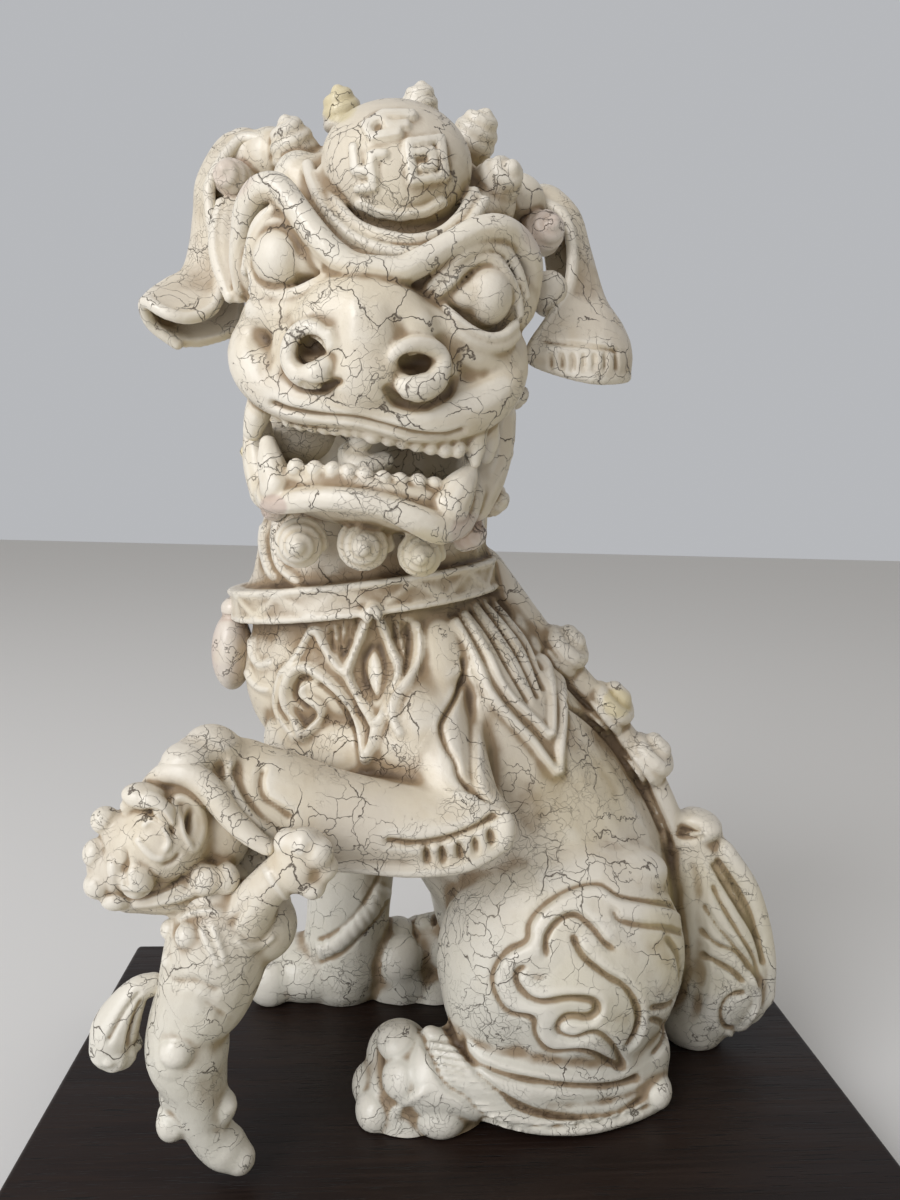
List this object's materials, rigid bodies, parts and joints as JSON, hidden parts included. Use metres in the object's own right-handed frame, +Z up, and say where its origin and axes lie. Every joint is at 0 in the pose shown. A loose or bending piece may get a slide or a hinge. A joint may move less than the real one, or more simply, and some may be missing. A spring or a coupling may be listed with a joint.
{
  "type": "guardian lion figurine",
  "caption": "Seated guardian lion figurine with a raised paw over a standing cub, cast in sections and screwed to a rectangular wooden plinth on felt pads.",
  "frame": {"origin": "middle of the footprint of the felt pads, on the surface that the plinth stands on", "axes": "+X from the lion's chest to its tail, along the plinth's long side; +Y away from the side that the lion's face looks to; +Z up"},
  "size_m": [0.2, 0.135, 0.2609],
  "materials": {
    "ivory": "satin ivory paint with fine dark crackle and brown wash in the hollows",
    "dark_wood": "dark stained, satin lacquer",
    "felt": "felt",
    "zinc_steel": "zinc plated"
  },
  "bodies": {
    "root": {"torso": "ivory", "head": "ivory", "lower_jaw": "ivory", "tongue": "ivory", "ear_left": "ivory", "ear_right": "ivory", "bell": "ivory", "raised_foreleg": "ivory", "standing_foreleg": "ivory", "hind_leg_left": "ivory", "hind_leg_right": "ivory", "tail": "ivory", "cub": "ivory", "cub_head": "ivory", "cub_tail": "ivory", "plinth": "dark_wood", "foot_pad_1": "felt", "foot_pad_2": "felt", "foot_pad_3": "felt", "foot_pad_4": "felt", "screw_1": "zinc_steel", "screw_2": "zinc_steel", "screw_3": "zinc_steel"}
  },
  "joints": []
}
